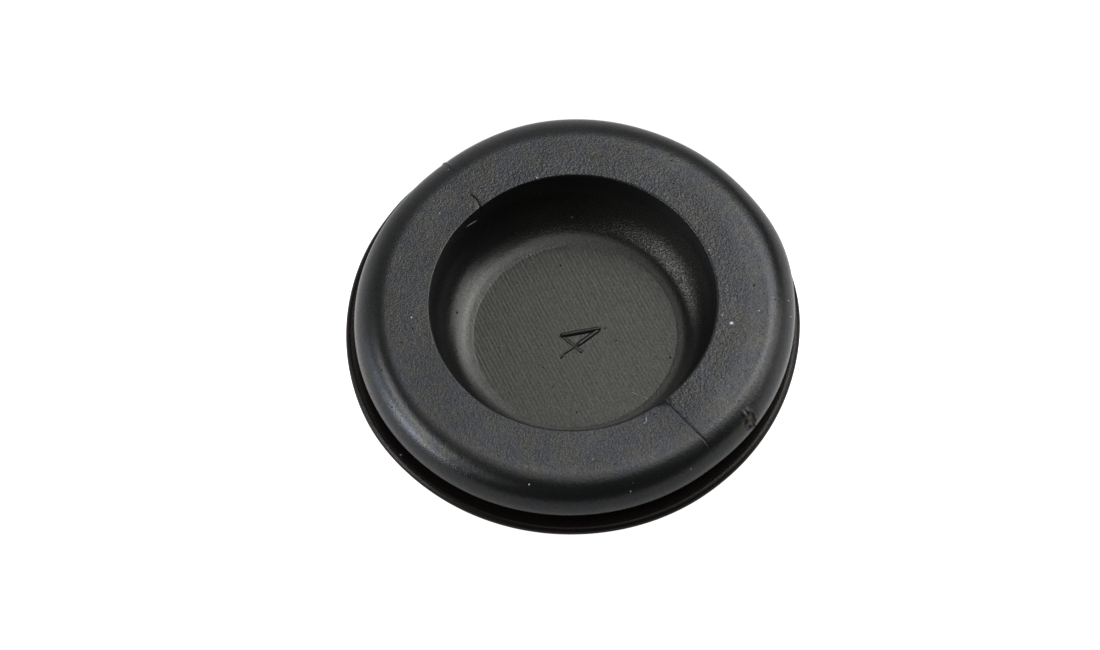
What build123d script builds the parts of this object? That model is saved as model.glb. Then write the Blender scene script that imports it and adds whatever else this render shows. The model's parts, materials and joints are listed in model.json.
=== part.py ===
"""Closed rubber grommet (blanking grommet) for a 25 mm hole in sheet metal.

One moulded piece of soft black rubber.  It is a body of revolution about Z: a short neck fills the
hole, a flange on each side of the neck grips the sheet, and a cup-shaped well is sunk into the top so
that the middle of the plug is only a thin web.  The well makes the neck a flexible ring, which is what
lets the tapered lower flange squeeze through the hole when the plug is pushed in.

Frame: millimetres, +Z up along the axis, origin at the centre of the flat underside.
"""

import os
from math import cos, radians, sin, tan

from build123d import *

# ---------------------------------------------------------------------------------------------------
# Driving dimensions, millimetres and degrees
# ---------------------------------------------------------------------------------------------------
HOLE_DIAMETER = 25.0          # hole in the sheet, and so the neck of the grommet
SHEET_THICKNESS = 1.5         # sheet that the groove holds
TOTAL_HEIGHT = 7.2            # underside to top face

LOWER_FLANGE_DIAMETER = 34.0  # the side that is pushed through the hole
LOWER_FLANGE_THICKNESS = 3.0  # underside to the start of the groove
LOWER_LIP_RADIUS = 0.4        # rounding of the lower flange's edge beside the groove
TAPER_ANGLE = 45.0            # lead-in taper under the lower flange, measured from the underside

UPPER_FLANGE_DIAMETER = 32.6  # the side that stays in view
UPPER_ROUNDING_WIDTH = 2.4    # the flat top face rolls over to the rim in this width

WELL_DIAMETER = 21.2          # mouth of the well
WELL_DEPTH = 5.6              # top face to the floor of the well
WELL_DRAFT_ANGLE = 2.5        # the wall leans in by this much so that the core draws out
WELL_CORNER_RADIUS = 2.6      # large fillet between wall and floor
CORE_STEP = 0.08              # the flat end of the core stands out below the end of the fillet

# ---------------------------------------------------------------------------------------------------
# Sizes that follow from them
# ---------------------------------------------------------------------------------------------------
neck_radius = HOLE_DIAMETER / 2
lower_radius = LOWER_FLANGE_DIAMETER / 2
upper_radius = UPPER_FLANGE_DIAMETER / 2
mouth_radius = WELL_DIAMETER / 2

groove_bottom = LOWER_FLANGE_THICKNESS
groove_top = groove_bottom + SHEET_THICKNESS
upper_flange_thickness = TOTAL_HEIGHT - groove_top
top_face_radius = upper_radius - UPPER_ROUNDING_WIDTH          # the flat of the top face ends here

lower_rim_height = groove_bottom - LOWER_LIP_RADIUS            # widest level of the lower flange
underside_radius = lower_radius - lower_rim_height / tan(radians(TAPER_ANGLE))

well_floor = TOTAL_HEIGHT - WELL_DEPTH
corner_end = well_floor + CORE_STEP                            # level at which the fillet ends
draft = radians(WELL_DRAFT_ANGLE)
corner_centre_height = corner_end + WELL_CORNER_RADIUS
wall_foot_height = corner_centre_height - WELL_CORNER_RADIUS * sin(draft)
wall_foot_radius = mouth_radius - (TOTAL_HEIGHT - wall_foot_height) * tan(draft)
well_floor_radius = wall_foot_radius - WELL_CORNER_RADIUS * cos(draft)


def lower_flange():
    """Underside, lead-in taper and the rounded lip beside the groove."""
    Line((0, 0), (underside_radius, 0))
    Line((underside_radius, 0), (lower_radius, lower_rim_height))
    CenterArc((lower_radius - LOWER_LIP_RADIUS, lower_rim_height), LOWER_LIP_RADIUS, 0, 90)


def panel_groove():
    """Two flat faces that grip the sheet, and the neck between them."""
    Line((lower_radius - LOWER_LIP_RADIUS, groove_bottom), (neck_radius, groove_bottom))
    Line((neck_radius, groove_bottom), (neck_radius, groove_top))
    Line((neck_radius, groove_top), (upper_radius, groove_top))


def upper_flange():
    """The rim, which rolls over in a quarter ellipse to the flat top face."""
    EllipticalCenterArc(
        (top_face_radius, groove_top),
        UPPER_ROUNDING_WIDTH,
        upper_flange_thickness,
        start_angle=0,
        arc_size=90,
    )
    Line((top_face_radius, TOTAL_HEIGHT), (mouth_radius, TOTAL_HEIGHT))


def well():
    """Crisp mouth, drafted wall, large corner fillet and the slightly sunk disc of the floor."""
    Line((mouth_radius, TOTAL_HEIGHT), (wall_foot_radius, wall_foot_height))
    CenterArc(
        (well_floor_radius, corner_centre_height),
        WELL_CORNER_RADIUS,
        -WELL_DRAFT_ANGLE,
        WELL_DRAFT_ANGLE - 90,
    )
    Line((well_floor_radius, corner_end), (well_floor_radius, well_floor))
    Line((well_floor_radius, well_floor), (0, well_floor))


# ---------------------------------------------------------------------------------------------------
# The half section, turned once about the axis
# ---------------------------------------------------------------------------------------------------
with BuildPart() as grommet:
    with BuildSketch(Plane.XZ):
        with BuildLine():
            lower_flange()
            panel_groove()
            upper_flange()
            well()
            Line((0, well_floor), (0, 0))
        make_face()
    revolve(axis=Axis.Z)

grommet.part.label = "blanking_grommet"

print("web thickness", round(well_floor, 3))
print("flat underside, radius", round(underside_radius, 3))
print("floor of the well, radius", round(well_floor_radius, 3))
print("wall of the neck at the mouth", round(neck_radius - mouth_radius, 3))
print("volume, cubic millimetres", round(grommet.part.volume, 1))

os.makedirs("parts", exist_ok=True)
export_step(grommet.part, "parts/blanking_grommet.step")
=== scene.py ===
# %% [markdown]
# # A moulded rubber blanking grommet
# The object is one piece of black rubber that plugs a round hole in a panel. A wide lower
# flange and a rounded upper flange hold the panel between them in a groove, and a cup-shaped
# well leaves only a thin web of rubber at the bottom so that the plug can flex into its hole.
# The CAD model of the part is loaded first. Everything made later stays in its frame.

import json
import math

import bpy
import numpy as np
from mathutils import Matrix, Vector

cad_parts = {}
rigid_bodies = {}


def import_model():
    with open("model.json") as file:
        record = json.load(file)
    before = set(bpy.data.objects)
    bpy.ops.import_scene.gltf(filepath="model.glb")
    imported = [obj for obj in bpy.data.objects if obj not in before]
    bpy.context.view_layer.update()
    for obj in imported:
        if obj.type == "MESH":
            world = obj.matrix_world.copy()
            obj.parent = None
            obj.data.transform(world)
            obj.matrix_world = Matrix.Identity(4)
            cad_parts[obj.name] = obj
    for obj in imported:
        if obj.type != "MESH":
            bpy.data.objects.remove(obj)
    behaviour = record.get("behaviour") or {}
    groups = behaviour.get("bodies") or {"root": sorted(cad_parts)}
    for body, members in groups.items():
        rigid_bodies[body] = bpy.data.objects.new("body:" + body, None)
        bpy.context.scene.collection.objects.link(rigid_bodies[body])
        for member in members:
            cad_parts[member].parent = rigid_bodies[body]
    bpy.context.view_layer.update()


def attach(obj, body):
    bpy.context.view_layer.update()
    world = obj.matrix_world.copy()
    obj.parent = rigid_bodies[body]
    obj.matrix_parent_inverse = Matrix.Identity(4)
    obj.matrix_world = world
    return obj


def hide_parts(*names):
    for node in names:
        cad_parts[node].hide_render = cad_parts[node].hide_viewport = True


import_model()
CAD_NODE = "blanking_grommet"

# %% [markdown]
# Blender counts in metres here and the part is drawn in millimetres, so one constant does the
# conversion. The sizes below are the driving dimensions of the part, with the small roundings
# that every moulded edge has and that the CAD leaves sharp.

# %% Sizes of the part
MM = 0.001

HOLE_DIAMETER = 25.0
SHEET_THICKNESS = 1.5
TOTAL_HEIGHT = 7.2
LOWER_FLANGE_DIAMETER = 34.0
LOWER_FLANGE_THICKNESS = 3.0
LOWER_LIP_RADIUS = 0.4
UPPER_FLANGE_DIAMETER = 32.6
UPPER_ROUNDING_WIDTH = 2.4
WELL_DIAMETER = 21.2
WELL_DEPTH = 5.6
WELL_DRAFT_ANGLE = 2.5
WELL_CORNER_RADIUS = 2.6
WELL_CORNER_HEIGHT = 3.0
CORE_STEP = 0.02
CORE_BEVEL = 0.18
HEEL_CUT_IN, HEEL_CUT_UP = 0.12, 0.09
LIP_CUT = 0.12  # the taper ends here, behind the start of the lip, so a fine crease is left
MIDDLE_RADIUS = 1.0  # the rings stop here, and a fan of triangles closes the middle

MOUTH_EDGE_RADIUS = 0.15
RIM_EDGE_RADIUS = 0.14
GROOVE_ROOT_RADIUS = 0.25

GROOVE_TOP = LOWER_FLANGE_THICKNESS + SHEET_THICKNESS
FLOOR_HEIGHT = TOTAL_HEIGHT - WELL_DEPTH
print("Web of rubber under the well, mm:", round(FLOOR_HEIGHT, 2))

# %% [markdown]
# A moulded ring is a section turned about an axis. The section is written as a run of points,
# from the middle of the underside, out and over the two flanges, and down into the well. Two
# small helpers make the runs: one divides a straight line and one divides part of an ellipse.
# Points are closer together where light shows the shape most. The corner of the well is an
# ellipse, a little taller than it is wide.

# %% Helpers that divide lines and arcs


def line(start, end, steps):
    """Points from start towards end, without the last one, with one close to each end."""
    near = 0.04 / math.dist(start, end)
    t = np.concatenate(([0.0], np.linspace(near, 1 - near, steps)))[:, None]
    return np.array(start) * (1 - t) + np.array(end) * t


def arc(centre, radii, first, last, steps):
    """Points on part of an ellipse, angles in degrees, without the last one."""
    a = np.radians(np.linspace(first, last, steps, endpoint=False))
    return np.array(centre) + np.column_stack((radii[0] * np.cos(a), radii[1] * np.sin(a)))


# %% The half section
lower_r = LOWER_FLANGE_DIAMETER / 2
upper_r = UPPER_FLANGE_DIAMETER / 2
neck_r = HOLE_DIAMETER / 2
mouth_r = WELL_DIAMETER / 2
flat_r = upper_r - UPPER_ROUNDING_WIDTH
lip = LOWER_LIP_RADIUS
taper_top = LOWER_FLANGE_THICKNESS - lip
heel_r = lower_r - taper_top
root = GROOVE_ROOT_RADIUS
rim = RIM_EDGE_RADIUS

draft = math.tan(math.radians(WELL_DRAFT_ANGLE))
corner_z = FLOOR_HEIGHT + CORE_STEP + WELL_CORNER_HEIGHT
wall_foot_z = corner_z - WELL_CORNER_HEIGHT * math.sin(math.radians(WELL_DRAFT_ANGLE))
wall_foot_r = mouth_r - (TOTAL_HEIGHT - wall_foot_z) * draft
floor_r = wall_foot_r - WELL_CORNER_RADIUS * math.cos(math.radians(WELL_DRAFT_ANGLE))
edge = MOUTH_EDGE_RADIUS
rounding_height = TOTAL_HEIGHT - GROOVE_TOP - rim
heel_end = (heel_r + HEEL_CUT_UP, HEEL_CUT_UP)
wall_foot = (wall_foot_r, wall_foot_z)

section = np.vstack((
    line((MIDDLE_RADIUS, 0), (heel_r - HEEL_CUT_IN, 0), 7),
    line((heel_r - HEEL_CUT_IN, 0), heel_end, 2),
    line(heel_end, (lower_r - LIP_CUT, taper_top - LIP_CUT), 8),
    arc((lower_r - lip, taper_top), (lip, lip), -45, 90, 10),
    line((lower_r - lip, LOWER_FLANGE_THICKNESS), (neck_r + root, LOWER_FLANGE_THICKNESS), 9),
    arc((neck_r + root, LOWER_FLANGE_THICKNESS + root), (root, root), 270, 180, 4),
    line((neck_r, LOWER_FLANGE_THICKNESS + root), (neck_r, GROOVE_TOP - root), 3),
    arc((neck_r + root, GROOVE_TOP - root), (root, root), 180, 90, 4),
    line((neck_r + root, GROOVE_TOP), (upper_r - rim, GROOVE_TOP), 8),
    arc((upper_r - rim, GROOVE_TOP + rim), (rim, rim), 270, 360, 4),
    arc((flat_r, GROOVE_TOP + rim), (UPPER_ROUNDING_WIDTH, rounding_height), 0, 90, 30),
    line((flat_r, TOTAL_HEIGHT), (mouth_r + edge, TOTAL_HEIGHT), 17),
    arc((mouth_r + edge, TOTAL_HEIGHT - edge), (edge, edge), 90, 180, 5),
    line((mouth_r, TOTAL_HEIGHT - edge), wall_foot, 13),
    arc((floor_r, corner_z), (WELL_CORNER_RADIUS, WELL_CORNER_HEIGHT), -WELL_DRAFT_ANGLE, -90, 18),
    line((floor_r, FLOOR_HEIGHT + CORE_STEP), (floor_r - CORE_BEVEL, FLOOR_HEIGHT), 2),
    line((floor_r - CORE_BEVEL, FLOOR_HEIGHT), (MIDDLE_RADIUS, FLOOR_HEIGHT), 8),
    [(MIDDLE_RADIUS, FLOOR_HEIGHT)],
))
ring_r, ring_z = section[:, 0], section[:, 1]
print("Rings in the section:", len(section), " floor radius, mm:", round(floor_r, 2))

# %% [markdown]
# The two flanges and the neck are formed between two mould halves that part like a split
# collar, and the well is formed by a separate core. Halves never meet perfectly: each half of
# each ring sits a little off centre, and the core sits a little to one side. These offsets of
# one to three tenths of a millimetre are what makes a real moulding look less perfect than a
# turned one, so they are given for a few stations and spread along the section. The parting
# line runs a little beside the axis, and on its far side it wanders, with a short bulge just
# outside the mouth.

# %% How the mould halves and the core sit
PARTING_ANGLE = -51.3
PARTING_OFFSET = -0.35
FAR_SEAM_SHIFT, FAR_SEAM_SLOPE = 0.25, 0.15
FAR_SEAM_BULGE, FAR_SEAM_LENGTH = 0.16, 1.3
LOWER_SHIFT = (-0.15, 0.03)


def ring_at(r, z):
    """The number of the ring nearest to a point of the section."""
    return int(np.argmin(np.hypot(ring_r - r, ring_z - z)))


lip_ring = ring_at(lower_r, taper_top)
rim_ring = ring_at(upper_r, GROOVE_TOP + rim)
shoulder_ring = ring_at(upper_r - 0.3, GROOVE_TOP + 1.4)
flat_ring = ring_at(flat_r, TOTAL_HEIGHT)
mouth_ring = ring_at(mouth_r, TOTAL_HEIGHT - edge)
floor_ring = ring_at(floor_r, FLOOR_HEIGHT + CORE_STEP)
last_ring = len(section) - 1
stations = [  # name, ring, half of the gap across the parting line, shift in x, shift in y
    ("underside", 0, 0.0, *LOWER_SHIFT),
    ("lower lip", lip_ring, 0.13, *LOWER_SHIFT),
    ("upper rim", rim_ring, 0.35, 0.05, 0.03),
    ("edge of the flat", flat_ring, 0.26, 0.18, -0.15),
    ("mouth", mouth_ring, 0.18, -0.02, -0.01),
    ("well floor", floor_ring, 0.0, 0.09, -0.06),
    ("middle of the floor", last_ring, 0.0, 0.0, 0.0),
]
rings = np.arange(len(section))
station_ring = [s[1] for s in stations]
half_gap, shift_x, shift_y = (
    np.interp(rings, station_ring, [s[k] for s in stations])[:, None] for k in (2, 3, 4)
)
for name, ring, *_ in stations:
    print(f"{name}: ring {ring}, r {ring_r[ring]:.2f}, z {ring_z[ring]:.2f}")

# %% [markdown]
# The section is turned about the axis in many columns. They crowd together at the parting line
# and at the gate, the spot where the rubber entered the mould, because the marks left there
# are only a tenth of a millimetre wide. The columns are bent to follow the parting line.

# %% Columns round the axis
GATE_ANGLE = -37.7
GATE_SPREAD = 3.0  # degrees to each side of the gate that get extra columns
COLUMNS = 540
SIDE_SHARPNESS = 14  # how quickly one mould half gives way to the other at the parting line

fine = np.array([0.05, 0.1, 0.16, 0.24, 0.34, 0.46])
fine = np.concatenate((-fine, fine))
gate_from_parting = GATE_ANGLE - PARTING_ANGLE
turns = np.concatenate((
    np.arange(COLUMNS) * 360 / COLUMNS,
    fine, [0.0],
    180 + fine, [180.0],
    gate_from_parting + np.linspace(-GATE_SPREAD, GATE_SPREAD, 34),
)) % 360
turns = np.unique(np.round(turns, 3))
turn = np.radians(turns)[None, :]
R = ring_r[:, None]
Z = np.repeat(ring_z[:, None], len(turns), axis=1)
past_mouth = np.clip(R - mouth_r, 0, None)
bulge = FAR_SEAM_BULGE * np.sin(np.pi * np.clip(past_mouth / FAR_SEAM_LENGTH, 0, 1))
far_side = np.maximum(-np.cos(turn), 0)
wander = far_side * (FAR_SEAM_SHIFT + FAR_SEAM_SLOPE * past_mouth + bulge)
seam_at = PARTING_OFFSET + wander
bent = turn + np.arcsin(seam_at / np.maximum(R, MIDDLE_RADIUS)) * np.cos(turn)
along = R * np.cos(bent)
across = R * np.sin(bent)
side = np.tanh(SIDE_SHARPNESS * np.sin(turn))
print("Columns:", len(turns), " points:", along.size)

# %% [markdown]
# Where the two halves meet there is a fine open seam, and it widens to a small notch where it
# runs into the mouth of the well. On the gate's side it reaches most of the way to the rim. On
# the far side it only shows for the first millimetre or so, and a low ridge of flash, rubber
# that was squeezed into the gap, stands on the rounding instead. Heights are in millimetres,
# measured along the outward normal of the section.

# %% Seam and notch
SEAM_DEPTH = 0.045
SEAM_HALF_WIDTH = 0.045
SEAM_REACH, FAR_SEAM_REACH = 4.6, 1.4
NOTCH_DEPTH = 0.18
NOTCH_REACH = 0.35
NOTCH_WIDE_SIDE, NOTCH_NARROW_SIDE = 0.5, 0.18
FAR_NOTCH_SHARE = 0.25
FLASH_HEIGHT, FLASH_HALF_WIDTH = 0.08, 0.09
FLASH_IN_FROM_RIM, FLASH_REACH = 0.6, 0.8

tangent = np.gradient(section, axis=0)
normal = np.column_stack((tangent[:, 1], -tangent[:, 0]))
normal /= np.linalg.norm(normal, axis=1)[:, None]
nr, nz = normal[:, :1], normal[:, 1:]

from_seam = across - seam_at
from_mouth = np.hypot(R - mouth_r, ring_z[:, None] - TOTAL_HEIGHT)
gate_side = np.cos(turn) > 0
moulded_by_halves = (rings[:, None] > lip_ring - 8) & (rings[:, None] <= mouth_ring + 1)
seam = np.exp(-((from_seam / SEAM_HALF_WIDTH) ** 2)) * moulded_by_halves
reach = np.where(gate_side, SEAM_REACH, FAR_SEAM_REACH)
seam = seam * (0.05 + 0.95 * np.exp(-((from_mouth / reach) ** 6)))
notch_width = np.where(gate_side & (from_seam < 0), NOTCH_WIDE_SIDE, NOTCH_NARROW_SIDE)
notch = np.exp(-((from_seam / notch_width) ** 2)) * np.exp(-((from_mouth / NOTCH_REACH) ** 2))
lift = -SEAM_DEPTH * seam - NOTCH_DEPTH * notch * np.where(gate_side, 1.0, FAR_NOTCH_SHARE)
near_rim = np.exp(-(((R - upper_r + FLASH_IN_FROM_RIM) / FLASH_REACH) ** 4))
far_rim = ~gate_side * near_rim * (ring_z[:, None] > GROOVE_TOP + rim)
lift = lift + FLASH_HEIGHT * far_rim * np.exp(-((from_seam / FLASH_HALF_WIDTH) ** 2))
print("Deepest point of the seam, mm:", round(float(lift.min()), 3))

# %% [markdown]
# Soft rubber never comes out of a mould dead flat or truly round. Slow waves of a hundredth of
# a millimetre on the top break up its reflections, and low swellings of up to three tenths put
# the rims a little out of round, as cooling rubber pulls them. One sharp one nicks the mouth.

# %% Slow waves and swellings
upper_face = np.clip((ring_z[:, None] - GROOVE_TOP) / 0.4, 0, 1) * (R > mouth_r - 0.2)
waves = 0.010 * np.sin(3 * turn + 0.6 * R)
waves = waves + 0.008 * np.sin(7 * turn - 1.1 * R) + 0.006 * np.sin(13 * turn + R)
lift = lift + waves * upper_face

swellings = [  # ring it is centred on, spread in rings, angle, spread in degrees, height
    (lip_ring, 9, 7, 16, 0.17),
    (lip_ring, 9, 27, 8, 0.15),
    (lip_ring, 9, -62, 22, 0.085),
    (lip_ring, 9, -153, 14, 0.075),
    (lip_ring, 9, 152, 14, 0.09),
    (shoulder_ring, 12, 96, 26, 0.22),
    (shoulder_ring, 12, 150, 9, 0.08),
    (rim_ring, 9, 146, 14, -0.18),
    (lip_ring, 9, 137, 8, 0.15),
    (rim_ring, 14, 19, 15, 0.20),
    (flat_ring, 9, -20, 24, 0.28),
    (flat_ring, 9, -55, 15, 0.12),
    (flat_ring, 9, -80, 22, -0.08),
    (flat_ring, 9, -150, 20, 0.12),
    (flat_ring, 9, 0, 400, 0.08),
    (mouth_ring, 1.5, 145, 1.6, 0.14),
]
direction = turns[None, :] + PARTING_ANGLE
swell = np.zeros_like(Z)
for ring, ring_spread, angle, angle_spread, height in swellings:
    from_angle = (direction - angle + 180) % 360 - 180
    near_ring = np.exp(-(((rings[:, None] - ring) / ring_spread) ** 2))
    swell += height * near_ring * np.exp(-((from_angle / angle_spread) ** 2))
print("Swellings from", round(float(swell.min()), 2), "to", round(float(swell.max()), 2), "mm")

# %% [markdown]
# The rubber entered the mould through a small gate in the side of the upper rounding. The
# sprue was torn off, which leaves a low lumpy ring of rubber with a hollow in its middle.

# %% Gate mark
GATE_HEIGHT = 5.9
GATE_WIDTH, GATE_LENGTH = 0.95, 1.9
SLOPE_STRETCH = 1.3  # the rounding slopes here, so it is longer than the height it climbs
TORN_RING_HEIGHT, TORN_RING_WIDTH = 0.12, 0.30
TORN_HOLLOW_DEPTH, TORN_HOLLOW_WIDTH = 0.03, 0.5

gate_away = (direction - GATE_ANGLE + 180) % 360 - 180
gate_x = np.radians(gate_away) * R / (GATE_WIDTH / 2)
gate_y = (ring_z[:, None] - GATE_HEIGHT) * SLOPE_STRETCH / (GATE_LENGTH / 2)
on_rounding = (R > flat_r) & (ring_z[:, None] > GROOVE_TOP + 0.2)
gate_r = np.hypot(gate_x, gate_y)
gate_a = np.arctan2(gate_y, gate_x)
lumps = 1 + 0.45 * np.sin(3 * gate_a + 0.8) + 0.25 * np.sin(7 * gate_a)
torn = TORN_RING_HEIGHT * np.exp(-(((gate_r - 0.85) / TORN_RING_WIDTH) ** 2)) * lumps
torn = torn - TORN_HOLLOW_DEPTH * np.exp(-((gate_r / TORN_HOLLOW_WIDTH) ** 2))
lift = lift + torn * on_rounding
print("Gate mark stands proud by, mm:", round(float((torn * on_rounding).max()), 2))

# %% [markdown]
# Moulds with many cavities number each one, so that a faulty cavity can be traced from its
# parts. The number is cut into the steel core and comes out raised on the well floor. Each
# stroke is a low ridge with sloped sides and round ends, laid along a path of points.

# %% A ridge along a path
RIDGE_STEP = 0.08
RIDGE_SINK = -0.06  # the foot of a ridge sits this far below the well floor
RIDGE_HALF = [(0.22, 1), (0.5, 0.85), (0.94, 0.1), (1, RIDGE_SINK)]  # from the middle outwards
RIDGE_PROFILE = [(-offset, level) for offset, level in reversed(RIDGE_HALF)] + RIDGE_HALF


def to_frame(along, across, z):
    """Parting-line coordinates in mm to the shared frame in metres."""
    a = math.radians(PARTING_ANGLE)
    x = along * math.cos(a) - across * math.sin(a)
    y = along * math.sin(a) + across * math.cos(a)
    return np.stack((x, y, z), axis=-1) * MM


def ridge(path, width, height):
    """Points (sections by points round) of a closed ridge standing on the well floor, in mm."""
    path = np.array(path, float)
    step = np.linalg.norm(np.diff(path, axis=0), axis=1)
    walked = np.concatenate(([0], np.cumsum(step)))
    half = width / 2
    s = np.linspace(-half, walked[-1] + half, 8 + int(walked[-1] / RIDGE_STEP))
    inside = np.clip(s, 0, walked[-1])
    middle = np.column_stack([np.interp(inside, walked, path[:, k]) for k in (0, 1)])
    leg = np.clip(np.searchsorted(walked, inside, side="right") - 1, 0, len(step) - 1)
    way = (np.diff(path, axis=0) / step[:, None])[leg]
    middle = middle + way * (s - inside)[:, None]
    end = np.sqrt(np.clip(1 - ((s - inside) / half) ** 2, 0.0004, 1))
    across_way = np.column_stack((-way[:, 1], way[:, 0]))
    rows = []
    for offset, level in RIDGE_PROFILE:
        xy = middle + across_way * (offset * half * end)[:, None]
        z = FLOOR_HEIGHT + (level if level < 0 else level * height * end)
        rows.append(np.column_stack((xy, np.broadcast_to(z, len(s)))))
    return np.stack(rows, axis=1)


# %% The raised 4
DIGIT_FOOT = (-1.1, -1.85)
DIGIT_UP = 36.1

up_way = np.array((math.cos(math.radians(DIGIT_UP)), math.sin(math.radians(DIGIT_UP))))
right_way = np.array((up_way[1], -up_way[0]))
strokes = [  # points as (right, up) from the foot of the 4, width, height
    ([(-0.08, 3.7), (-1.35, 1.25)], 0.44, 0.20),
    ([(0.0, 3.5), (0.02, 1.75)], 0.40, 0.13),
    ([(0.02, 1.75), (-0.02, 0.35), (0.1, 0.0)], 0.17, 0.10),
    ([(-1.15, 1.2), (0.6, 1.5)], 0.32, 0.06),
]
ridges = []
for path, width, height in strokes:
    placed = [np.array(DIGIT_FOOT) + right * right_way + up * up_way for right, up in path]
    ridges.append(ridge(placed, width, height))
print("Strokes:", len(ridges), " points:", sum(r.shape[0] * r.shape[1] for r in ridges))

# %% [markdown]
# Now the points become one mesh: the rings joined by four-sided faces, a fan of triangles at
# the middle of the underside and of the well floor, and the closed ridges of the number, which
# sink a little into the floor so that no gap shows.

# %% Build the body


def grid_faces(index, wrap_columns):
    """Quads that join a grid of point numbers, row to row."""
    nxt = np.roll(index, -1, axis=1) if wrap_columns else index[:, 1:]
    here = index if wrap_columns else index[:, :-1]
    return np.stack((here[:-1], nxt[:-1], nxt[1:], here[1:]), axis=-1).reshape(-1, 4).tolist()


across = across + half_gap * side
outward = lift * nr + swell
points = to_frame(along + outward * np.cos(bent), across + outward * np.sin(bent), Z + lift * nz)
points[..., 0] += shift_x * MM
points[..., 1] += shift_y * MM

index = np.arange(Z.size).reshape(Z.shape)
faces = grid_faces(index, True)
vertices = [points.reshape(-1, 3), points[0].mean(axis=0)[None], points[-1].mean(axis=0)[None]]
bottom_mid, floor_mid = Z.size, Z.size + 1
first, last = index[0], index[-1]
faces += [[bottom_mid, int(b), int(a)] for a, b in zip(first, np.roll(first, -1))]
faces += [[floor_mid, int(a), int(b)] for a, b in zip(last, np.roll(last, -1))]
used = Z.size + 2
for r in ridges:
    index = used + np.arange(r.shape[0] * r.shape[1]).reshape(r.shape[:2])
    faces += grid_faces(index[:, ::-1], True)  # turned round, so that its faces look outwards
    faces += [index[0].tolist(), index[-1][::-1].tolist()]
    vertices.append(r.reshape(-1, 3) * MM)
    used += r.shape[0] * r.shape[1]

mesh = bpy.data.meshes.new("rubber_body")
mesh.from_pydata(np.vstack(vertices).tolist(), [], faces)
mesh.validate()
mesh.polygons.foreach_set("use_smooth", [True] * len(mesh.polygons))
body = bpy.data.objects.new("rubber_grommet", mesh)
bpy.context.scene.collection.objects.link(body)
print("Triangles in the body:", sum(len(f) - 2 for f in faces))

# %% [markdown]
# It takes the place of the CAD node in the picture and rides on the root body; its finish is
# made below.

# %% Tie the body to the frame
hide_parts(CAD_NODE)
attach(body, "root")

# %% [markdown]
# # Finish: moulded black rubber
# Carbon black makes the rubber swallow nearly all the light that enters it, so the eye reads
# its shape from reflections alone: broad and soft, because the skin copies the fine blasted
# finish of the mould. One helper turns sRGB hex colours into the linear numbers that Blender
# wants, and one adds a node with its settings and links.

# %% Helpers for colours and nodes


def srgb(code):
    """A colour written as sRGB hex, as the linear numbers Blender wants."""
    parts = [int(code[i:i + 2], 16) / 255 for i in (1, 3, 5)]
    linear = [c / 12.92 if c <= 0.04045 else ((c + 0.055) / 1.055) ** 2.4 for c in parts]
    return (*linear, 1.0)


def add(tree, kind, settings=None, inputs=None):
    """Adds one node, sets its options, and fills or links its inputs."""
    node = tree.nodes.new("ShaderNode" + kind)
    for name, value in (settings or {}).items():
        setattr(node, name, value)
    for name, value in (inputs or {}).items():
        if isinstance(value, bpy.types.NodeSocket):
            tree.links.new(value, node.inputs[name])
        else:
            node.inputs[name].default_value = value
    return node


def material(name):
    """A new node material, empty, and its node tree."""
    made = bpy.data.materials.new(name)
    made.use_nodes = True
    made.node_tree.nodes.clear()
    return made, made.node_tree

# %% [markdown]
# The finish differs from place to place, so the material first asks where it is. Object
# coordinates are scaled to millimetres, and a few masks between 0 and 1 pick out the well
# floor, the top, the coarser of its two halves, the lower flange and the plain underside. The
# same sums as for the mesh say how far a point is from the parting line.

# %% Where on the rubber
rubber, tree = material("moulded_black_rubber_satin")  # the helpers below add to this tree


def calc(operation, a, b=0.0, c=0.0):
    """One sum on numbers or sockets."""
    return add(tree, "Math", {"operation": operation}, {0: a, 1: b, 2: c}).outputs[0]


def times(first, *others):
    """Several numbers or sockets multiplied together."""
    for other in others:
        first = calc("MULTIPLY", first, other)
    return first


def ramp(value, start, end, low=0.0, high=1.0):
    """Goes smoothly from low to high as value goes from start to end."""
    return add(tree, "MapRange", {"interpolation_type": "SMOOTHSTEP"}, {
        "Value": value, "From Min": start, "From Max": end, "To Min": low, "To Max": high,
    }).outputs["Result"]


metres = add(tree, "TexCoord").outputs["Object"]
in_mm = add(tree, "VectorMath", {"operation": "SCALE"}, {0: metres, "Scale": 1 / MM})
place = in_mm.outputs["Vector"]
xyz = add(tree, "SeparateXYZ", inputs={0: place}).outputs
x, y, height = xyz["X"], xyz["Y"], xyz["Z"]
radius = calc("SQRT", calc("ADD", times(x, x), times(y, y)))
lean = math.radians(PARTING_ANGLE)
beside = calc("SUBTRACT", times(y, math.cos(lean)), times(x, math.sin(lean)))

underside = ramp(height, 0.9, 0.6)
over_web = calc("SUBTRACT", 1.0, underside)
inside_step = ramp(radius, floor_r - 0.05, floor_r - 0.15)
on_floor = times(inside_step, ramp(height, FLOOR_HEIGHT + 0.04, FLOOR_HEIGHT + 0.02), over_web)
outside_mouth = ramp(radius, mouth_r - 0.05, mouth_r + 0.05)
on_upper = times(outside_mouth, ramp(height, GROOVE_TOP, GROOVE_TOP + 0.3))
on_flat = times(on_upper, ramp(height, TOTAL_HEIGHT - 0.35, TOTAL_HEIGHT - 0.05))
outside_neck = ramp(radius, neck_r - 0.5, neck_r - 0.1)
below_groove = ramp(height, LOWER_FLANGE_THICKNESS + 0.2, LOWER_FLANGE_THICKNESS + 0.05)
on_lower = times(below_groove, calc("MAXIMUM", outside_neck, underside))

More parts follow.
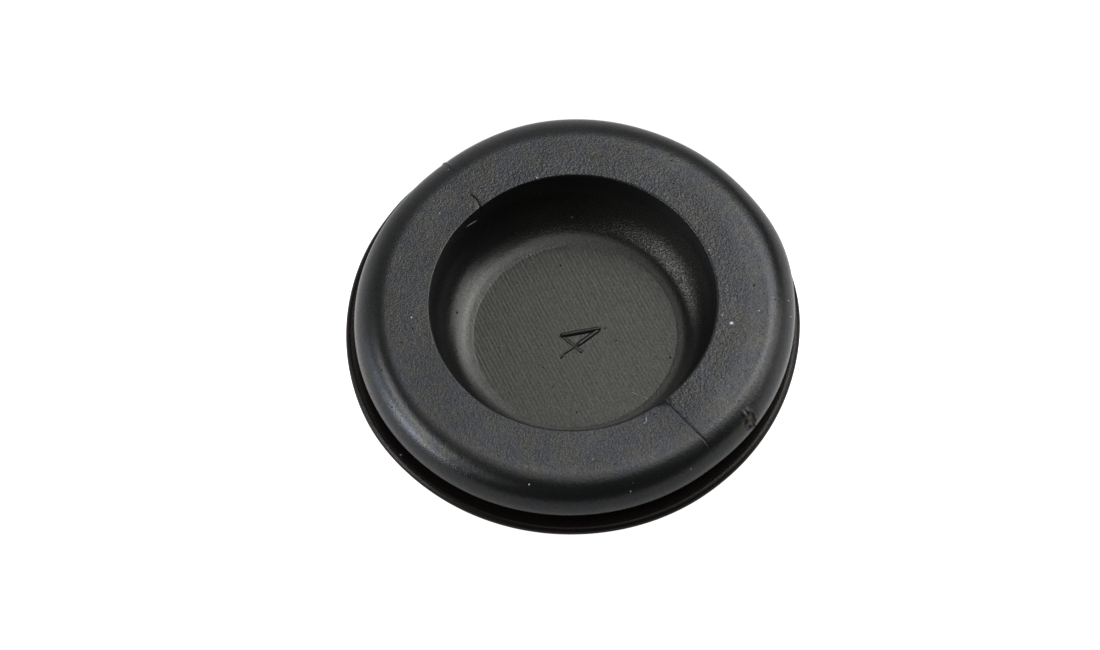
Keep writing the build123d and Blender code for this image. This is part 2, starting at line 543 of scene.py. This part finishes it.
out_from_mouth = calc("MAXIMUM", calc("SUBTRACT", radius, mouth_r), 0.0)
far_shift = calc("MULTIPLY_ADD", out_from_mouth, FAR_SEAM_SLOPE, FAR_SEAM_SHIFT)
along_bulge = calc("MINIMUM", times(out_from_mouth, math.pi / FAR_SEAM_LENGTH), math.pi)
far_shift = calc("MULTIPLY_ADD", calc("SINE", along_bulge), FAR_SEAM_BULGE, far_shift)
on_far_side = ramp(y, -1.0, 1.0)
seam_line = calc("MULTIPLY_ADD", far_shift, on_far_side, PARTING_OFFSET)
from_seam_line = calc("SUBTRACT", beside, seam_line)
coarse_half = ramp(from_seam_line, -0.02, 0.02)
print("Masks made:", len(tree.nodes), "nodes")

# %% [markdown]
# The mould was blasted with grit that leaves bumps of about a seventh of a millimetre, and one
# half more coarsely than the other: its side of the top is also dimpled like leather, with
# cells of a fifth of a millimetre. The grain fades towards the rim. The core was turned and
# then dressed with a stone, so the floor carries fine parallel lines 0.3 mm apart instead. The
# far wall of the well is rougher, and there are a few small pits. How the mould was finished
# is a guess from these marks. All relief is worked out in millimetres of height.

# %% Relief of the skin
GRIT_SIZE = 0.14
GRIT_HEIGHT, FLAT_GRIT_HEIGHT, WALL_GRIT_HEIGHT = 0.012, 0.024, 0.030
DIMPLE_SIZE, DIMPLE_HEIGHT = 0.42, 0.012
LEATHER_SIZE, LEATHER_DEPTH = 0.20, 0.022
STONE_LINE_PITCH = 0.30
STONE_LINE_ANGLE = -67.0
STONE_LINE_HEIGHT = 0.014
STONE_LINE_STRETCH = 12.0
PIT_SPACING = 0.8
PIT_SIZE, PIT_DEPTH = 0.10, 0.03


def noise(vector, size, detail=2.0, roughness=0.5):
    """Noise from about -0.5 to 0.5 with lumps of this size in mm."""
    made = add(tree, "TexNoise", inputs={
        "Vector": vector, "Scale": 1 / size, "Detail": detail, "Roughness": roughness,
    })
    return calc("SUBTRACT", made.outputs["Fac"], 0.5)


in_well = ramp(radius, mouth_r + 0.05, mouth_r - 0.05)
above_floor = ramp(height, FLOOR_HEIGHT + 0.1, FLOOR_HEIGHT + 0.4)
far_wall = times(ramp(beside, 1.0, 5.0), ramp(y, -1.0, 5.0), in_well, above_floor)
grain_end = ramp(x, 2.0, 11.0, 14.5, 13.6)
grainy = times(on_flat, ramp(calc("SUBTRACT", radius, grain_end), 0.0, -1.0, 0.15, 1.0))
coarse_flat = times(grainy, coarse_half, ramp(radius, 13.6, 11.0, 0.4, 1.15))
grit_height = calc("MULTIPLY_ADD", grainy, FLAT_GRIT_HEIGHT, GRIT_HEIGHT)
grit_height = calc("MULTIPLY_ADD", far_wall, WALL_GRIT_HEIGHT, grit_height)
grain = noise(place, GRIT_SIZE, 3.0, 0.6)
grit = times(grain, grit_height)
dimples = times(noise(place, DIMPLE_SIZE, 1.0), on_upper, DIMPLE_HEIGHT)

leather_cells = add(tree, "TexVoronoi", {"feature": "SMOOTH_F1"}, {
    "Vector": place, "Scale": 1 / LEATHER_SIZE, "Smoothness": 0.5,
}).outputs["Distance"]
leather = times(leather_cells, coarse_flat, -LEATHER_DEPTH)

stretched, plain = (add(tree, "Mapping", {"vector_type": "TEXTURE"}, {
    "Vector": place, "Rotation": (0, 0, math.radians(STONE_LINE_ANGLE)), "Scale": (stretch, 1, 1),
}).outputs["Vector"] for stretch in (STONE_LINE_STRETCH, 1.0))
strokes_of_stone = noise(stretched, STONE_LINE_PITCH, 2.0, 0.7)
turned_lines = add(tree, "TexWave", {"bands_direction": "Y"}, {
    "Vector": plain, "Scale": 2 * math.pi / (20 * STONE_LINE_PITCH),
    "Distortion": 1.2, "Detail": 1.0, "Detail Scale": 1.5,
}).outputs["Fac"]
patchy = ramp(calc("SUBTRACT", y, x), -9.0, 9.0, 0.5, 0.9)
both_lines = calc("MULTIPLY_ADD", turned_lines, 0.28, strokes_of_stone)
lines = times(both_lines, on_floor, patchy, STONE_LINE_HEIGHT)

pit_cells = add(tree, "TexVoronoi", {"feature": "F1"}, {
    "Vector": place, "Scale": 1 / PIT_SPACING,
}).outputs
picked = add(tree, "SeparateXYZ", inputs={0: pit_cells["Color"]}).outputs["X"]
pit_reach = calc("MULTIPLY_ADD", picked, 1.6 * PIT_SIZE, -0.6 * PIT_SIZE)
from_pit = times(pit_cells["Distance"], PIT_SPACING)
pit = ramp(calc("SUBTRACT", from_pit, pit_reach), 0.0, -0.05)
pits = times(pit, -PIT_DEPTH)
relief = calc("ADD", calc("ADD", grit, calc("ADD", dimples, leather)), calc("ADD", lines, pits))
bump = add(tree, "Bump", inputs={"Height": relief, "Strength": 1.0, "Distance": MM})
print("Relief added:", len(tree.nodes), "nodes so far")

# %% [markdown]
# Carbon-black rubber is a very dark, slightly cool grey. The floor of the well has a trace of
# warm grey bloom. The far wall of the well gets a lighter warm grey, which is painted light
# that lifts its deep shade. The lower flange is browner, and it reflects much less, which is
# painted shade for the shadowed ground that its lip faces. The index of refraction of rubber
# is about 1.52. How much it reflects is also turned down as painted shade: in pits, in the
# hollows of the grain (with painted light on its crests), in the open seam and the nick at its
# end, at the foot of the well's wall next to the floor, and in a faint strip beside the seam.

# %% Colour and gloss
CLOUD_SIZE = 3.5
SHEEN_PATCH_SIZE = 1.3
GLOSS_PATCH_SIZE = 0.35


def blend(factor, first, second):
    """One colour going over to another."""
    return add(tree, "Mix", {"data_type": "RGBA"}, {0: factor, 6: first, 7: second}).outputs[2]


clouds = ramp(noise(place, CLOUD_SIZE, 3.0), -0.2, 0.2)
colour = blend(clouds, srgb("#232424"), srgb("#252625"))
colour = blend(on_floor, colour, srgb("#2c2c29"))
# The lower flange is browner; its low reflection further down is painted shade.
colour = blend(on_lower, colour, srgb("#241f1d"))
# The far wall of the well is lighter: painted light that lifts its deep shade.
colour = blend(far_wall, colour, srgb("#343531"))
cool_patches = times(on_upper, ramp(noise(place, SHEEN_PATCH_SIZE, 2.0), -0.15, 0.15))
sheen = blend(cool_patches, srgb("#fffefa"), srgb("#f4f6ff"))
gloss_patches = noise(place, GLOSS_PATCH_SIZE)
gloss = calc("MULTIPLY_ADD", gloss_patches, 0.08, ramp(on_flat, 0, 1, 0.285, 0.32))
# The foot of the well's wall next to the floor: a little glossier, and given painted shade below.
low_in_well = ramp(height, FLOOR_HEIGHT + 0.5, FLOOR_HEIGHT + 0.1)
near_floor = times(over_web, ramp(radius, floor_r + 0.8, floor_r - 0.2), low_in_well)
gloss = calc("MULTIPLY_ADD", near_floor, 0.03, gloss)

# %% Painted shade: where less light comes back
# Painted shade in the open seam, and below in the nick, beside the seam and in pits.
ragged = calc("MULTIPLY_ADD", gloss_patches, ramp(y, -1.0, 1.0, 0.04, 0.30), from_seam_line)
gap_edge = ramp(y, -1.0, 1.0, 0.06, 0.12)
gap_middle = ramp(y, -1.0, 1.0, 0.015, 0.04)
seam_gap = ramp(calc("ABSOLUTE", ragged), gap_edge, gap_middle)
seam_end = ramp(y, -0.5, 0.5, 15.0, mouth_r + FAR_SEAM_REACH)
inside_end = ramp(calc("SUBTRACT", radius, seam_end), 0.2, -0.2)
seam_shade = times(seam_gap, on_upper, inside_end, ramp(y, -1.0, 1.0, 0.5, 0.85))
on_gate_side = ramp(y, 1.0, -1.0)
# Painted shade in the nick where the seam runs into the mouth, on the gate's side.
nick_shade = times(ramp(radius, mouth_r + 0.4, mouth_r + 0.2), ramp(from_seam_line, -1.0, -0.4))
nick_shade = times(nick_shade, ramp(from_seam_line, 0.15, 0.0), on_upper, on_gate_side, 0.7)
# Painted shade in a faint strip beside the seam on the flat, on the gate's side.
seam_side_shade = times(ramp(calc("ABSOLUTE", from_seam_line), 5.0, 0.0), on_flat, on_gate_side, 0.12)
# Painted shade in the grain's hollows, painted light on its crests, strongest on the far wall.
grain_shade_and_light = calc("MULTIPLY_ADD", grain, ramp(far_wall, 0, 1, 1.25, 4.5), 1.02)
painted_shade = calc("ADD", calc("MAXIMUM", seam_shade, nick_shade), seam_side_shade)
left_after_shade = calc("SUBTRACT", calc("MULTIPLY_ADD", pit, -0.75, 1.0), painted_shade)
# Painted shade: the lower flange reflects much less, for the shadowed ground that its lip faces.
reflect = times(
    ramp(on_lower, 0, 1, 0.6, 0.27), ramp(on_floor, 0, 1, 1.0, 0.98),
    ramp(near_floor, 0, 1, 1.0, 0.86), grain_shade_and_light, left_after_shade,
)

# %% [markdown]
# Dust and lint cling to rubber. Each mark is an ellipsoid of pale dust, from a tenth of a
# millimetre to one and a half long: a mapping node moves and stretches it into a ball of
# radius one, and the distance from its centre gives the mask. Positions are millimetres in
# the shared frame. The long piece of lint leans on the wall of the well, so it also dips. The
# torn skin at the gate is dull, and paler in patches.

# %% Dust and lint
SPECK_THICKNESS = 0.12
specks = [  # x, y, z, half length, half width, dip, turned by, how pale
    (11.7, -2.45, 7.2, 0.17, 0.15, 0, 0, 0.9),
    (-12.1, -0.9, 7.2, 0.08, 0.08, 0, 0, 0.7),
    (-3.8, -14.9, 6.9, 0.09, 0.09, 0, 0, 0.6),
    (4.99, -10.15, 7.2, 0.26, 0.035, 0, 88, 0.6),
    (4.86, -10.42, 7.2, 0.12, 0.035, 0, 15, 0.6),
    (4.40, -5.21, 1.6, 0.45, 0.025, 0, -27, 0.3),
    (5.10, -5.57, 1.6, 0.38, 0.025, 0, -30, 0.3),
    (-2.36, 10.62, 7.2, 0.07, 0.06, 0, 0, 0.8),
    (10.35, 3.8, 7.2, 0.07, 0.06, 0, 0, 0.8),
    (11.84, 8.44, 7.1, 0.10, 0.09, 0, 0, 0.8),
    (-9.8, 7.89, 7.2, 0.06, 0.06, 0, 0, 0.6),
    (0.95, -13.2, 7.2, 0.13, 0.05, 0, 40, 0.3),
    (11.06, -1.75, 7.2, 0.07, 0.06, 0, 0, 0.7),
    (13.8, -1.5, 7.2, 0.07, 0.06, 0, 0, 0.7),
    (16.1, -0.3, 6.3, 0.08, 0.08, 0, 0, 0.6),
    (16.2, -1.5, 6.0, 0.09, 0.07, 0, 0, 0.6),
    (15.0, 5.8, 6.3, 0.09, 0.09, 0, 0, 0.7),
    (8.1, -13.8, 6.1, 0.09, 0.06, 0, 0, 0.5),
    (3.6, -15.5, 6.3, 0.08, 0.08, 0, 0, 0.5),
    (-13.3, -10.2, 3.0, 0.10, 0.10, 0, 0, 0.6),
    (-7.42, 7.51, 6.05, 0.75, 0.10, 19, 43, 0.85),
    (-5.0, 7.99, 2.12, 0.10, 0.10, 0, 0, 0.35),
    (-9.07, 11.81, 6.96, 0.12, 0.07, 0, -30, 0.4),
    (0.2, 9.7, 2.45, 0.11, 0.06, 0, 0, 0.5),
    (-2.9, 6.4, 1.6, 0.10, 0.03, 0, 60, 0.4),
    (-5.5, -0.7, 1.6, 0.04, 0.04, 0, 0, 0.6),
]
dusty = None
for speck_x, speck_y, speck_z, half_length, half_width, dip, turned, pale in specks:
    ball = add(tree, "Mapping", {"vector_type": "TEXTURE"}, {
        "Vector": place, "Location": (speck_x, speck_y, speck_z),
        "Rotation": (0, math.radians(dip), math.radians(turned)),
        "Scale": (half_length, half_width, max(half_width, SPECK_THICKNESS)),
    }).outputs["Vector"]
    away = add(tree, "VectorMath", {"operation": "LENGTH"}, {0: ball}).outputs["Value"]
    mark = ramp(away, 1.0, 0.6, 0.0, pale)
    dusty = mark if dusty is None else calc("MAXIMUM", dusty, mark)
print("Specks and lint:", len(specks))

# %% Torn skin at the gate
TORN_SKIN_RADIUS, DULL_SKIN_RADIUS = 15.95, 16.05


def from_spot(angle, r, z):
    """Distance in mm from a spot given by its angle, radius and height."""
    spot = (r * math.cos(math.radians(angle)), r * math.sin(math.radians(angle)), z)
    return add(tree, "VectorMath", {"operation": "DISTANCE"}, {0: place, 1: spot}).outputs["Value"]


from_tear = from_spot(GATE_ANGLE - 1.0, TORN_SKIN_RADIUS, GATE_HEIGHT + 0.1)
torn_skin = times(ramp(from_tear, 0.8, 0.4), ramp(noise(place, GLOSS_PATCH_SIZE, 3.0), -0.1, 0.1))
dull_gate = ramp(from_spot(GATE_ANGLE, DULL_SKIN_RADIUS, GATE_HEIGHT - 0.1), 0.95, 0.7)
gloss = calc("MULTIPLY_ADD", dull_gate, 0.15, gloss)
reflect = times(reflect, calc("MULTIPLY_ADD", dull_gate, -0.4, 1.0))
colour = blend(times(torn_skin, 0.55), colour, srgb("#6a6154"))
colour = blend(dusty, colour, srgb("#b5b4ae"))

# %% Put the rubber together
skin = add(tree, "BsdfPrincipled", inputs={
    "Base Color": colour, "Roughness": calc("MAXIMUM", gloss, dusty), "IOR": 1.52,
    "Specular IOR Level": reflect, "Specular Tint": sheen, "Normal": bump.outputs["Normal"],
})
add(tree, "OutputMaterial", inputs={"Surface": skin.outputs["BSDF"]})
body.data.materials.append(rubber)
print("Rubber material:", len(tree.nodes), "nodes")

# %% [markdown]
# # Studio
# The grommet lies on a sheet of backlit white acrylic, so the picture has a pure white ground
# with no shadow, and the lower edges of the part catch a little of its light. It glows a
# little more to the left and right, which lights those edges more than the front.

# %% Floor
SHEET_HALF = 1.0
SHEET_GAP = 0.02  # mm under the part, so that the two faces never share a plane
SHEET_GLOW, SIDE_GLOW = 1.02, 0.4

floor_mesh = bpy.data.meshes.new("sheet")
corners = [(SHEET_HALF * i, SHEET_HALF * j, 0) for i, j in ((-1, -1), (1, -1), (1, 1), (-1, 1))]
floor_mesh.from_pydata(corners, [], [(0, 1, 2, 3)])
floor = bpy.data.objects.new("white_sheet", floor_mesh)
floor.location.z = -SHEET_GAP * MM
bpy.context.scene.collection.objects.link(floor)

acrylic, tree = material("backlit_white_acrylic")
spot = add(tree, "SeparateXYZ", inputs={0: add(tree, "TexCoord").outputs["Object"]}).outputs
x_squared = times(spot["X"], spot["X"])
sideways = calc("DIVIDE", x_squared, calc("MULTIPLY_ADD", spot["Y"], spot["Y"], x_squared))
brightness = calc("MULTIPLY_ADD", calc("POWER", sideways, 2.0), SIDE_GLOW, SHEET_GLOW)
glow = add(tree, "Emission", inputs={"Color": (1, 1, 1, 1), "Strength": brightness})
add(tree, "OutputMaterial", inputs={"Surface": glow.outputs["Emission"]})
floor.data.materials.append(acrylic)
print("Sheet of", 2 * SHEET_HALF, "m")

# %% [markdown]
# The camera looks down at the grommet through a long lens from about 30 cm away. Its place is
# worked out from an elevation, a small roll, a distance and where the middle of the mouth of
# the well falls beside the middle of the frame.

# %% Camera
CAMERA_ELEVATION = 62.6
CAMERA_ROLL = -2.3
CAMERA_DISTANCE = 318.0
AIM_RIGHT, AIM_UP = 1.73, 1.85
LENS = 139.4

tip = math.radians(CAMERA_ELEVATION)
roll = math.radians(CAMERA_ROLL)
right, up = Vector((1, 0, 0)), Vector((0, math.sin(tip), math.cos(tip)))
ahead = Vector((0, math.cos(tip), -math.sin(tip)))
camera_x = math.cos(roll) * right + math.sin(roll) * up
camera_y = -math.sin(roll) * right + math.cos(roll) * up
mouth = Vector((0, 0, TOTAL_HEIGHT))
stand = mouth - (AIM_RIGHT * camera_x + AIM_UP * camera_y + CAMERA_DISTANCE * ahead)
camera_data = bpy.data.cameras.new("camera")
camera_data.lens = LENS
camera_data.sensor_width = 36
camera_data.clip_start = 0.01
camera = bpy.data.objects.new("camera", camera_data)
facing = Matrix((camera_x, camera_y, -ahead)).transposed().to_4x4()
camera.matrix_world = Matrix.Translation(stand * MM) @ facing
bpy.context.scene.collection.objects.link(camera)
bpy.context.scene.camera = camera
print("Camera at, mm:", [round(v, 1) for v in stand])

# %% [markdown]
# Black rubber shows the lamps and nothing else, so the lamps are placed one by one. A group at
# the right, the key, draws the bright band on the upper rounding, and the lamps above it and
# behind light the flat top and the far wall of the well. A group at the left lights the left
# rounding and the near left of the well. The front is left dark, which is what keeps the near
# side of the rounding black. Sizes are angles as seen from the part.

# %% Softboxes
LAMP_DISTANCE = 0.6


def softbox(name, azimuth, elevation, wide, high, power, colour="#ffffff"):
    """A soft rectangular lamp aimed at the grommet; azimuth is counted from +X towards +Y."""
    data = bpy.data.lights.new(name, "AREA")
    data.shape = "RECTANGLE"
    data.size = 2 * LAMP_DISTANCE * math.tan(math.radians(wide / 2))
    data.size_y = 2 * LAMP_DISTANCE * math.tan(math.radians(high / 2))
    data.energy = power
    data.color = srgb(colour)[:3]
    a, t = math.radians(azimuth), math.radians(elevation)
    way = Vector((math.cos(a) * math.cos(t), math.sin(a) * math.cos(t), math.sin(t)))
    level = Vector((-math.sin(a), math.cos(a), 0))
    lamp = bpy.data.objects.new(name, data)
    turned = Matrix((level, way.cross(level), way)).transposed().to_4x4()
    lamp.matrix_world = Matrix.Translation(way * LAMP_DISTANCE) @ turned
    bpy.context.scene.collection.objects.link(lamp)
    print(f"{name}: {power} W, {1000 * data.size:.0f} by {1000 * data.size_y:.0f} mm")


softbox("key right", 23, 46, 48, 30, 2.45)
softbox("key low", 6, 21, 38, 18, 0.8)
softbox("key edge", 5, 6, 38, 10, 0.1)
softbox("key side", -28, 44, 24, 24, 0.12)
softbox("key high", 50, 62, 30, 12, 0.62)
softbox("back fill", 90, 38, 60, 28, 0.33)
softbox("key back", 75, 58, 40, 24, 0.60)
softbox("top", 40, 80, 40, 40, 1.4)
softbox("left high", 185, 38, 40, 20, 1.75)
softbox("left low", 200, 14, 30, 16, 1.3)
softbox("left front", 222, 34, 24, 16, 0.22)
softbox("left edge", 185, 8, 40, 16, 0.8, "#d8e4ff")

# %% [markdown]
# The room behind the bench, and a little to its left, is pale near the horizon, and the rest is
# dark. It gives the far rims their thin light edge.

# %% Room
ROOM_STRENGTH = 0.95

room = bpy.data.worlds.new("studio_room")
room.use_nodes = True
tree = room.node_tree
tree.nodes.clear()
look = add(tree, "SeparateXYZ", inputs={0: add(tree, "TexCoord").outputs["Generated"]}).outputs
near_horizon = ramp(look["Z"], 0.05, 0.75, 1.0, 0.0)
toward_back = calc("MULTIPLY_ADD", look["X"], -0.5, times(look["Y"], 0.87))
strength = times(near_horizon, ramp(toward_back, 0.3, 1.0), ROOM_STRENGTH)
air = add(tree, "Background", inputs={"Color": (1, 1, 1, 1), "Strength": strength})
add(tree, "OutputWorld", inputs={"Surface": air.outputs["Background"]})
bpy.context.scene.world = room
print("Room:", len(tree.nodes), "nodes")

# %% [markdown]
# The picture is shown with the plain Standard transform and a little extra contrast, as a
# catalogue print has.

# %% Picture contrast
CONTRAST = 1.4

bpy.context.scene.view_settings.view_transform = "Standard"
bpy.context.scene.view_settings.gamma = 1 / CONTRAST
